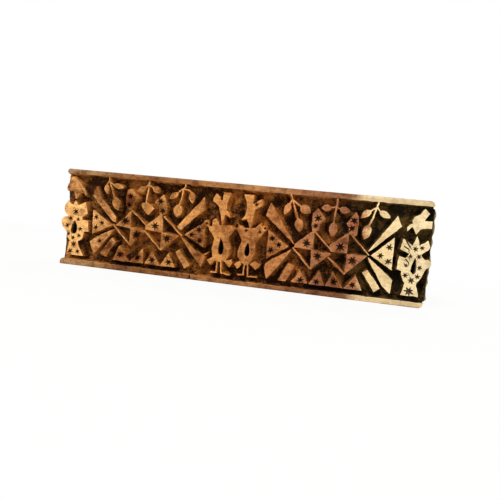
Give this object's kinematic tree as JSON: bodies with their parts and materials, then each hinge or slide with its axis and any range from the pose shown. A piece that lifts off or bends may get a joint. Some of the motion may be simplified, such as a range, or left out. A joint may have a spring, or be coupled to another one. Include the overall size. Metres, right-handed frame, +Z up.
{
  "type": "wooden printing block",
  "caption": "Hand-carved wooden border block for printing cloth, with a raised ornament between two rails, cross-grain backing and a screwed-on grip.",
  "frame": {"origin": "on the surface that the block stands on, under the middle of its bounding box", "axes": "+X along the block to the right as one faces the carving, +Y from the printing face towards the handle, +Z up"},
  "size_m": [0.223, 0.073, 0.06],
  "materials": {
    "carved_face_wood": "worn printing surface over dark, ink-stained carved walls and ground",
    "core_wood": "planed softwood, grain upright, stained by handling",
    "back_wood": "planed and darkened by handling",
    "handle_wood": "worn smooth and slightly polished by hands",
    "dowel_wood": "end grain, cut flush",
    "screw_iron": "dark, slightly rusted iron"
  },
  "bodies": {
    "root": {"face_board": "carved_face_wood", "core_board_left": "core_wood", "core_board_middle": "core_wood", "core_board_right": "core_wood", "back_board": "back_wood", "handle": "handle_wood", "handle_screw_left": "screw_iron", "handle_screw_right": "screw_iron", "dowel_upper_left": "dowel_wood", "dowel_upper_right": "dowel_wood", "dowel_lower_left": "dowel_wood", "dowel_lower_right": "dowel_wood"}
  },
  "joints": []
}
